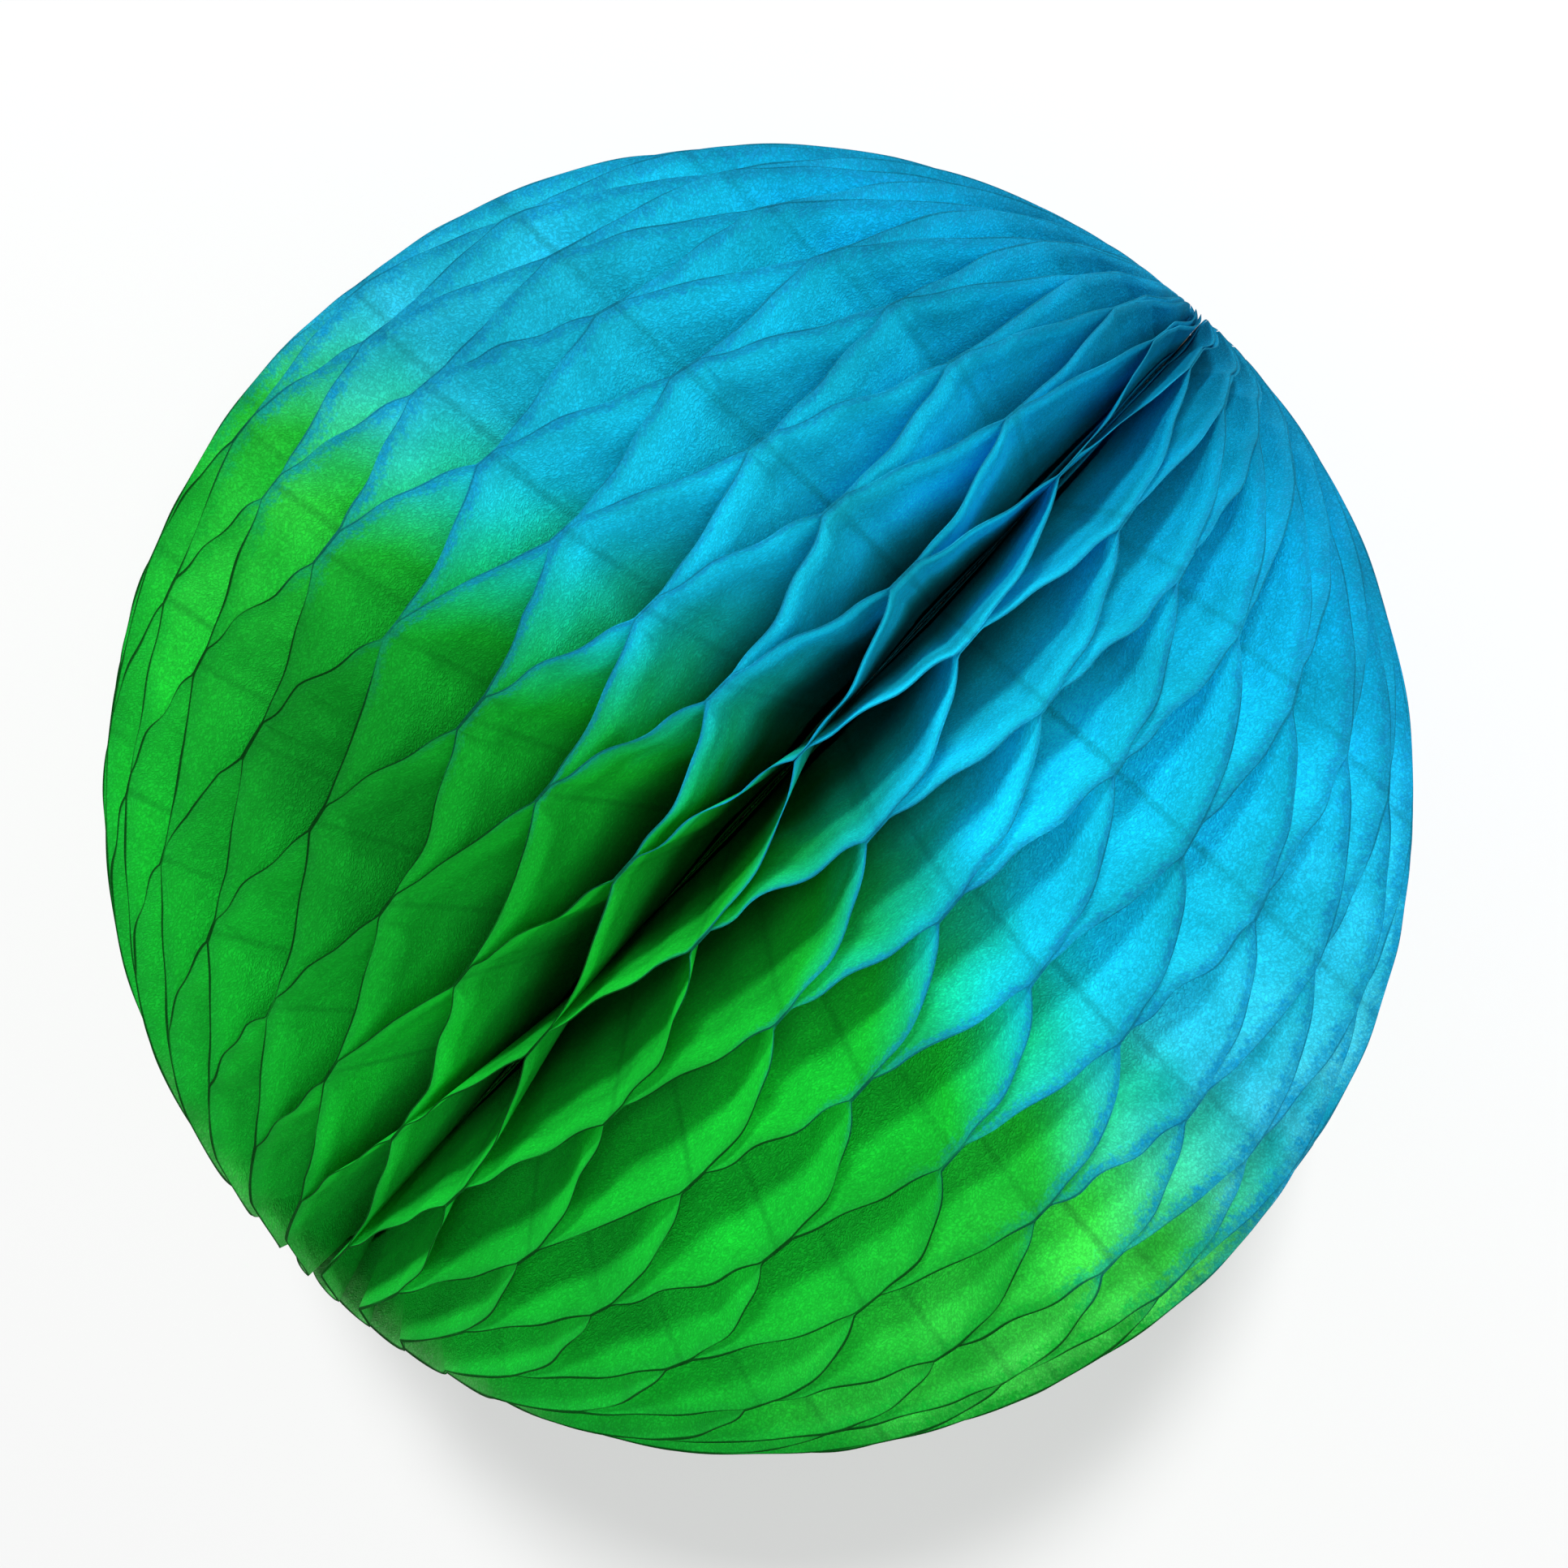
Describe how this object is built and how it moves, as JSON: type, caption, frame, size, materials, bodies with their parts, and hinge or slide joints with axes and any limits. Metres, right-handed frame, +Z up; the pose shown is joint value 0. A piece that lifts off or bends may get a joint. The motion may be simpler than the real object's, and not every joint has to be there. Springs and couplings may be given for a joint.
{
  "type": "paper honeycomb ball",
  "caption": "Honeycomb paper ball: wavy half-round tissue leaves glued on alternate lines and fanned round a spine, with card covers that meet at a taped seam. Folds flat.",
  "frame": {"origin": "point on the floor under the middle of the ball, which lies on its seam", "axes": "+Z up; +X along the level spine towards the blue end; the seam of the covers points down"},
  "size_m": [0.1498, 0.1499, 0.1499],
  "materials": {
    "tissue": "thin dyed tissue, blue at one end and green at the other, matt and translucent",
    "card": "thin dyed card, matt",
    "tape": "double-sided tape, satin",
    "core": "gathered tissue edges under dried glue and thread",
    "thread": "natural cotton thread"
  },
  "bodies": {
    "spine": {"back_cover": "card", "seam_tape": "tape", "spine_core": "core", "end_knots": "thread"},
    "front_cover": {"front_cover": "card"},
    "leaf_01": {"tissue_leaf_01": "tissue"},
    "leaf_02": {"tissue_leaf_02": "tissue"},
    "leaf_03": {"tissue_leaf_03": "tissue"},
    "leaf_04": {"tissue_leaf_04": "tissue"},
    "leaf_05": {"tissue_leaf_05": "tissue"},
    "leaf_06": {"tissue_leaf_06": "tissue"},
    "leaf_07": {"tissue_leaf_07": "tissue"},
    "leaf_08": {"tissue_leaf_08": "tissue"},
    "leaf_09": {"tissue_leaf_09": "tissue"},
    "leaf_10": {"tissue_leaf_10": "tissue"},
    "leaf_11": {"tissue_leaf_11": "tissue"},
    "leaf_12": {"tissue_leaf_12": "tissue"},
    "leaf_13": {"tissue_leaf_13": "tissue"},
    "leaf_14": {"tissue_leaf_14": "tissue"},
    "leaf_15": {"tissue_leaf_15": "tissue"},
    "leaf_16": {"tissue_leaf_16": "tissue"},
    "leaf_17": {"tissue_leaf_17": "tissue"},
    "leaf_18": {"tissue_leaf_18": "tissue"},
    "leaf_19": {"tissue_leaf_19": "tissue"},
    "leaf_20": {"tissue_leaf_20": "tissue"},
    "leaf_21": {"tissue_leaf_21": "tissue"},
    "leaf_22": {"tissue_leaf_22": "tissue"},
    "leaf_23": {"tissue_leaf_23": "tissue"},
    "leaf_24": {"tissue_leaf_24": "tissue"},
    "leaf_25": {"tissue_leaf_25": "tissue"},
    "leaf_26": {"tissue_leaf_26": "tissue"},
    "leaf_27": {"tissue_leaf_27": "tissue"},
    "leaf_28": {"tissue_leaf_28": "tissue"},
    "leaf_29": {"tissue_leaf_29": "tissue"},
    "leaf_30": {"tissue_leaf_30": "tissue"},
    "leaf_31": {"tissue_leaf_31": "tissue"},
    "leaf_32": {"tissue_leaf_32": "tissue"},
    "leaf_33": {"tissue_leaf_33": "tissue"},
    "leaf_34": {"tissue_leaf_34": "tissue"},
    "leaf_35": {"tissue_leaf_35": "tissue"},
    "leaf_36": {"tissue_leaf_36": "tissue"},
    "leaf_37": {"tissue_leaf_37": "tissue"},
    "leaf_38": {"tissue_leaf_38": "tissue"},
    "leaf_39": {"tissue_leaf_39": "tissue"},
    "leaf_40": {"tissue_leaf_40": "tissue"},
    "leaf_41": {"tissue_leaf_41": "tissue"},
    "leaf_42": {"tissue_leaf_42": "tissue"},
    "leaf_43": {"tissue_leaf_43": "tissue"},
    "leaf_44": {"tissue_leaf_44": "tissue"},
    "leaf_45": {"tissue_leaf_45": "tissue"},
    "leaf_46": {"tissue_leaf_46": "tissue"},
    "leaf_47": {"tissue_leaf_47": "tissue"},
    "leaf_48": {"tissue_leaf_48": "tissue"},
    "leaf_49": {"tissue_leaf_49": "tissue"},
    "leaf_50": {"tissue_leaf_50": "tissue"},
    "leaf_51": {"tissue_leaf_51": "tissue"},
    "leaf_52": {"tissue_leaf_52": "tissue"},
    "leaf_53": {"tissue_leaf_53": "tissue"},
    "leaf_54": {"tissue_leaf_54": "tissue"}
  },
  "joints": [
    {"name": "fold", "type": "hinge", "parent": "spine", "child": "front_cover", "pos_m": [0, 0, 0.075], "axis": [-1, 0, 0], "range_deg": [0, 348], "deforming": ["tissue_leaf_01", "tissue_leaf_02", "tissue_leaf_03", "tissue_leaf_04", "tissue_leaf_05", "tissue_leaf_06", "tissue_leaf_07", "tissue_leaf_08", "tissue_leaf_09", "tissue_leaf_10", "tissue_leaf_11", "tissue_leaf_12", "tissue_leaf_13", "tissue_leaf_14", "tissue_leaf_15", "tissue_leaf_16", "tissue_leaf_17", "tissue_leaf_18", "tissue_leaf_19", "tissue_leaf_20", "tissue_leaf_21", "tissue_leaf_22", "tissue_leaf_23", "tissue_leaf_24", "tissue_leaf_25", "tissue_leaf_26", "tissue_leaf_27", "tissue_leaf_28", "tissue_leaf_29", "tissue_leaf_30", "tissue_leaf_31", "tissue_leaf_32", "tissue_leaf_33", "tissue_leaf_34", "tissue_leaf_35", "tissue_leaf_36", "tissue_leaf_37", "tissue_leaf_38", "tissue_leaf_39", "tissue_leaf_40", "tissue_leaf_41", "tissue_leaf_42", "tissue_leaf_43", "tissue_leaf_44", "tissue_leaf_45", "tissue_leaf_46", "tissue_leaf_47", "tissue_leaf_48", "tissue_leaf_49", "tissue_leaf_50", "tissue_leaf_51", "tissue_leaf_52", "tissue_leaf_53", "tissue_leaf_54"]},
    {"name": "fold_leaf_01", "type": "hinge", "parent": "spine", "child": "leaf_01", "pos_m": [0, 0, 0.075], "axis": [-1, 0, 0], "range_deg": [0, 4.84]},
    {"name": "fold_leaf_02", "type": "hinge", "parent": "spine", "child": "leaf_02", "pos_m": [0, 0, 0.075], "axis": [-1, 0, 0], "range_deg": [0, 14.48]},
    {"name": "fold_leaf_03", "type": "hinge", "parent": "spine", "child": "leaf_03", "pos_m": [0, 0, 0.075], "axis": [-1, 0, 0], "range_deg": [0, 24.06]},
    {"name": "fold_leaf_04", "type": "hinge", "parent": "spine", "child": "leaf_04", "pos_m": [0, 0, 0.075], "axis": [-1, 0, 0], "range_deg": [0, 33.52]},
    {"name": "fold_leaf_05", "type": "hinge", "parent": "spine", "child": "leaf_05", "pos_m": [0, 0, 0.075], "axis": [-1, 0, 0], "range_deg": [0, 42.84]},
    {"name": "fold_leaf_06", "type": "hinge", "parent": "spine", "child": "leaf_06", "pos_m": [0, 0, 0.075], "axis": [-1, 0, 0], "range_deg": [0, 51.97]},
    {"name": "fold_leaf_07", "type": "hinge", "parent": "spine", "child": "leaf_07", "pos_m": [0, 0, 0.075], "axis": [-1, 0, 0], "range_deg": [0, 60.88]},
    {"name": "fold_leaf_08", "type": "hinge", "parent": "spine", "child": "leaf_08", "pos_m": [0, 0, 0.075], "axis": [-1, 0, 0], "range_deg": [0, 69.53]},
    {"name": "fold_leaf_09", "type": "hinge", "parent": "spine", "child": "leaf_09", "pos_m": [0, 0, 0.075], "axis": [-1, 0, 0], "range_deg": [0, 77.89]},
    {"name": "fold_leaf_10", "type": "hinge", "parent": "spine", "child": "leaf_10", "pos_m": [0, 0, 0.075], "axis": [-1, 0, 0], "range_deg": [0, 85.94]},
    {"name": "fold_leaf_11", "type": "hinge", "parent": "spine", "child": "leaf_11", "pos_m": [0, 0, 0.075], "axis": [-1, 0, 0], "range_deg": [0, 93.66]},
    {"name": "fold_leaf_12", "type": "hinge", "parent": "spine", "child": "leaf_12", "pos_m": [0, 0, 0.075], "axis": [-1, 0, 0], "range_deg": [0, 101.03]},
    {"name": "fold_leaf_13", "type": "hinge", "parent": "spine", "child": "leaf_13", "pos_m": [0, 0, 0.075], "axis": [-1, 0, 0], "range_deg": [0, 108.03]},
    {"name": "fold_leaf_14", "type": "hinge", "parent": "spine", "child": "leaf_14", "pos_m": [0, 0, 0.075], "axis": [-1, 0, 0], "range_deg": [0, 114.66]},
    {"name": "fold_leaf_15", "type": "hinge", "parent": "spine", "child": "leaf_15", "pos_m": [0, 0, 0.075], "axis": [-1, 0, 0], "range_deg": [0, 120.92]},
    {"name": "fold_leaf_16", "type": "hinge", "parent": "spine", "child": "leaf_16", "pos_m": [0, 0, 0.075], "axis": [-1, 0, 0], "range_deg": [0, 126.8]},
    {"name": "fold_leaf_17", "type": "hinge", "parent": "spine", "child": "leaf_17", "pos_m": [0, 0, 0.075], "axis": [-1, 0, 0], "range_deg": [0, 132.33]},
    {"name": "fold_leaf_18", "type": "hinge", "parent": "spine", "child": "leaf_18", "pos_m": [0, 0, 0.075], "axis": [-1, 0, 0], "range_deg": [0, 137.5]},
    {"name": "fold_leaf_19", "type": "hinge", "parent": "spine", "child": "leaf_19", "pos_m": [0, 0, 0.075], "axis": [-1, 0, 0], "range_deg": [0, 142.34]},
    {"name": "fold_leaf_20", "type": "hinge", "parent": "spine", "child": "leaf_20", "pos_m": [0, 0, 0.075], "axis": [-1, 0, 0], "range_deg": [0, 146.86]},
    {"name": "fold_leaf_21", "type": "hinge", "parent": "spine", "child": "leaf_21", "pos_m": [0, 0, 0.075], "axis": [-1, 0, 0], "range_deg": [0, 151.1]},
    {"name": "fold_leaf_22", "type": "hinge", "parent": "spine", "child": "leaf_22", "pos_m": [0, 0, 0.075], "axis": [-1, 0, 0], "range_deg": [0, 155.08]},
    {"name": "fold_leaf_23", "type": "hinge", "parent": "spine", "child": "leaf_23", "pos_m": [0, 0, 0.075], "axis": [-1, 0, 0], "range_deg": [0, 158.84]},
    {"name": "fold_leaf_24", "type": "hinge", "parent": "spine", "child": "leaf_24", "pos_m": [0, 0, 0.075], "axis": [-1, 0, 0], "range_deg": [0, 162.41]},
    {"name": "fold_leaf_25", "type": "hinge", "parent": "spine", "child": "leaf_25", "pos_m": [0, 0, 0.075], "axis": [-1, 0, 0], "range_deg": [0, 165.83]},
    {"name": "fold_leaf_26", "type": "hinge", "parent": "spine", "child": "leaf_26", "pos_m": [0, 0, 0.075], "axis": [-1, 0, 0], "range_deg": [0, 169.15]},
    {"name": "fold_leaf_27", "type": "hinge", "parent": "spine", "child": "leaf_27", "pos_m": [0, 0, 0.075], "axis": [-1, 0, 0], "range_deg": [0, 172.4]},
    {"name": "fold_leaf_28", "type": "hinge", "parent": "spine", "child": "leaf_28", "pos_m": [0, 0, 0.075], "axis": [-1, 0, 0], "range_deg": [0, 175.63]},
    {"name": "fold_leaf_29", "type": "hinge", "parent": "spine", "child": "leaf_29", "pos_m": [0, 0, 0.075], "axis": [-1, 0, 0], "range_deg": [0, 178.88]},
    {"name": "fold_leaf_30", "type": "hinge", "parent": "spine", "child": "leaf_30", "pos_m": [0, 0, 0.075], "axis": [-1, 0, 0], "range_deg": [0, 182.2]},
    {"name": "fold_leaf_31", "type": "hinge", "parent": "spine", "child": "leaf_31", "pos_m": [0, 0, 0.075], "axis": [-1, 0, 0], "range_deg": [0, 185.62]},
    {"name": "fold_leaf_32", "type": "hinge", "parent": "spine", "child": "leaf_32", "pos_m": [0, 0, 0.075], "axis": [-1, 0, 0], "range_deg": [0, 189.19]},
    {"name": "fold_leaf_33", "type": "hinge", "parent": "spine", "child": "leaf_33", "pos_m": [0, 0, 0.075], "axis": [-1, 0, 0], "range_deg": [0, 192.95]},
    {"name": "fold_leaf_34", "type": "hinge", "parent": "spine", "child": "leaf_34", "pos_m": [0, 0, 0.075], "axis": [-1, 0, 0], "range_deg": [0, 196.93]},
    {"name": "fold_leaf_35", "type": "hinge", "parent": "spine", "child": "leaf_35", "pos_m": [0, 0, 0.075], "axis": [-1, 0, 0], "range_deg": [0, 201.17]},
    {"name": "fold_leaf_36", "type": "hinge", "parent": "spine", "child": "leaf_36", "pos_m": [0, 0, 0.075], "axis": [-1, 0, 0], "range_deg": [0, 205.69]},
    {"name": "fold_leaf_37", "type": "hinge", "parent": "spine", "child": "leaf_37", "pos_m": [0, 0, 0.075], "axis": [-1, 0, 0], "range_deg": [0, 210.53]},
    {"name": "fold_leaf_38", "type": "hinge", "parent": "spine", "child": "leaf_38", "pos_m": [0, 0, 0.075], "axis": [-1, 0, 0], "range_deg": [0, 215.7]},
    {"name": "fold_leaf_39", "type": "hinge", "parent": "spine", "child": "leaf_39", "pos_m": [0, 0, 0.075], "axis": [-1, 0, 0], "range_deg": [0, 221.23]},
    {"name": "fold_leaf_40", "type": "hinge", "parent": "spine", "child": "leaf_40", "pos_m": [0, 0, 0.075], "axis": [-1, 0, 0], "range_deg": [0, 227.11]},
    {"name": "fold_leaf_41", "type": "hinge", "parent": "spine", "child": "leaf_41", "pos_m": [0, 0, 0.075], "axis": [-1, 0, 0], "range_deg": [0, 233.37]},
    {"name": "fold_leaf_42", "type": "hinge", "parent": "spine", "child": "leaf_42", "pos_m": [0, 0, 0.075], "axis": [-1, 0, 0], "range_deg": [0, 240]},
    {"name": "fold_leaf_43", "type": "hinge", "parent": "spine", "child": "leaf_43", "pos_m": [0, 0, 0.075], "axis": [-1, 0, 0], "range_deg": [0, 247]},
    {"name": "fold_leaf_44", "type": "hinge", "parent": "spine", "child": "leaf_44", "pos_m": [0, 0, 0.075], "axis": [-1, 0, 0], "range_deg": [0, 254.37]},
    {"name": "fold_leaf_45", "type": "hinge", "parent": "spine", "child": "leaf_45", "pos_m": [0, 0, 0.075], "axis": [-1, 0, 0], "range_deg": [0, 262.09]},
    {"name": "fold_leaf_46", "type": "hinge", "parent": "spine", "child": "leaf_46", "pos_m": [0, 0, 0.075], "axis": [-1, 0, 0], "range_deg": [0, 270.14]},
    {"name": "fold_leaf_47", "type": "hinge", "parent": "spine", "child": "leaf_47", "pos_m": [0, 0, 0.075], "axis": [-1, 0, 0], "range_deg": [0, 278.5]},
    {"name": "fold_leaf_48", "type": "hinge", "parent": "spine", "child": "leaf_48", "pos_m": [0, 0, 0.075], "axis": [-1, 0, 0], "range_deg": [0, 287.15]},
    {"name": "fold_leaf_49", "type": "hinge", "parent": "spine", "child": "leaf_49", "pos_m": [0, 0, 0.075], "axis": [-1, 0, 0], "range_deg": [0, 296.06]},
    {"name": "fold_leaf_50", "type": "hinge", "parent": "spine", "child": "leaf_50", "pos_m": [0, 0, 0.075], "axis": [-1, 0, 0], "range_deg": [0, 305.19]},
    {"name": "fold_leaf_51", "type": "hinge", "parent": "spine", "child": "leaf_51", "pos_m": [0, 0, 0.075], "axis": [-1, 0, 0], "range_deg": [0, 314.51]},
    {"name": "fold_leaf_52", "type": "hinge", "parent": "spine", "child": "leaf_52", "pos_m": [0, 0, 0.075], "axis": [-1, 0, 0], "range_deg": [0, 323.97]},
    {"name": "fold_leaf_53", "type": "hinge", "parent": "spine", "child": "leaf_53", "pos_m": [0, 0, 0.075], "axis": [-1, 0, 0], "range_deg": [0, 333.55]},
    {"name": "fold_leaf_54", "type": "hinge", "parent": "spine", "child": "leaf_54", "pos_m": [0, 0, 0.075], "axis": [-1, 0, 0], "range_deg": [0, 343.19]}
  ],
  "couplings": [
    {"joint": "fold_leaf_01", "follows": "fold", "ratio": 0.013878},
    {"joint": "fold_leaf_02", "follows": "fold", "ratio": 0.041573},
    {"joint": "fold_leaf_03", "follows": "fold", "ratio": 0.069081},
    {"joint": "fold_leaf_04", "follows": "fold", "ratio": 0.096281},
    {"joint": "fold_leaf_05", "follows": "fold", "ratio": 0.12305},
    {"joint": "fold_leaf_06", "follows": "fold", "ratio": 0.14929},
    {"joint": "fold_leaf_07", "follows": "fold", "ratio": 0.17489},
    {"joint": "fold_leaf_08", "follows": "fold", "ratio": 0.19975},
    {"joint": "fold_leaf_09", "follows": "fold", "ratio": 0.22378},
    {"joint": "fold_leaf_10", "follows": "fold", "ratio": 0.24692},
    {"joint": "fold_leaf_11", "follows": "fold", "ratio": 0.2691},
    {"joint": "fold_leaf_12", "follows": "fold", "ratio": 0.29026},
    {"joint": "fold_leaf_13", "follows": "fold", "ratio": 0.31039},
    {"joint": "fold_leaf_14", "follows": "fold", "ratio": 0.32944},
    {"joint": "fold_leaf_15", "follows": "fold", "ratio": 0.34742},
    {"joint": "fold_leaf_16", "follows": "fold", "ratio": 0.36434},
    {"joint": "fold_leaf_17", "follows": "fold", "ratio": 0.38021},
    {"joint": "fold_leaf_18", "follows": "fold", "ratio": 0.39507},
    {"joint": "fold_leaf_19", "follows": "fold", "ratio": 0.40897},
    {"joint": "fold_leaf_20", "follows": "fold", "ratio": 0.42197},
    {"joint": "fold_leaf_21", "follows": "fold", "ratio": 0.43415},
    {"joint": "fold_leaf_22", "follows": "fold", "ratio": 0.44559},
    {"joint": "fold_leaf_23", "follows": "fold", "ratio": 0.45639},
    {"joint": "fold_leaf_24", "follows": "fold", "ratio": 0.46665},
    {"joint": "fold_leaf_25", "follows": "fold", "ratio": 0.47649},
    {"joint": "fold_leaf_26", "follows": "fold", "ratio": 0.48602},
    {"joint": "fold_leaf_27", "follows": "fold", "ratio": 0.49536},
    {"joint": "fold_leaf_28", "follows": "fold", "ratio": 0.50464},
    {"joint": "fold_leaf_29", "follows": "fold", "ratio": 0.51398},
    {"joint": "fold_leaf_30", "follows": "fold", "ratio": 0.52351},
    {"joint": "fold_leaf_31", "follows": "fold", "ratio": 0.53335},
    {"joint": "fold_leaf_32", "follows": "fold", "ratio": 0.54361},
    {"joint": "fold_leaf_33", "follows": "fold", "ratio": 0.55441},
    {"joint": "fold_leaf_34", "follows": "fold", "ratio": 0.56585},
    {"joint": "fold_leaf_35", "follows": "fold", "ratio": 0.57803},
    {"joint": "fold_leaf_36", "follows": "fold", "ratio": 0.59103},
    {"joint": "fold_leaf_37", "follows": "fold", "ratio": 0.60493},
    {"joint": "fold_leaf_38", "follows": "fold", "ratio": 0.61979},
    {"joint": "fold_leaf_39", "follows": "fold", "ratio": 0.63566},
    {"joint": "fold_leaf_40", "follows": "fold", "ratio": 0.65258},
    {"joint": "fold_leaf_41", "follows": "fold", "ratio": 0.67056},
    {"joint": "fold_leaf_42", "follows": "fold", "ratio": 0.68961},
    {"joint": "fold_leaf_43", "follows": "fold", "ratio": 0.70974},
    {"joint": "fold_leaf_44", "follows": "fold", "ratio": 0.7309},
    {"joint": "fold_leaf_45", "follows": "fold", "ratio": 0.75308},
    {"joint": "fold_leaf_46", "follows": "fold", "ratio": 0.77622},
    {"joint": "fold_leaf_47", "follows": "fold", "ratio": 0.80025},
    {"joint": "fold_leaf_48", "follows": "fold", "ratio": 0.82511},
    {"joint": "fold_leaf_49", "follows": "fold", "ratio": 0.85071},
    {"joint": "fold_leaf_50", "follows": "fold", "ratio": 0.87694},
    {"joint": "fold_leaf_51", "follows": "fold", "ratio": 0.90372},
    {"joint": "fold_leaf_52", "follows": "fold", "ratio": 0.93092},
    {"joint": "fold_leaf_53", "follows": "fold", "ratio": 0.95843},
    {"joint": "fold_leaf_54", "follows": "fold", "ratio": 0.98612}
  ]
}
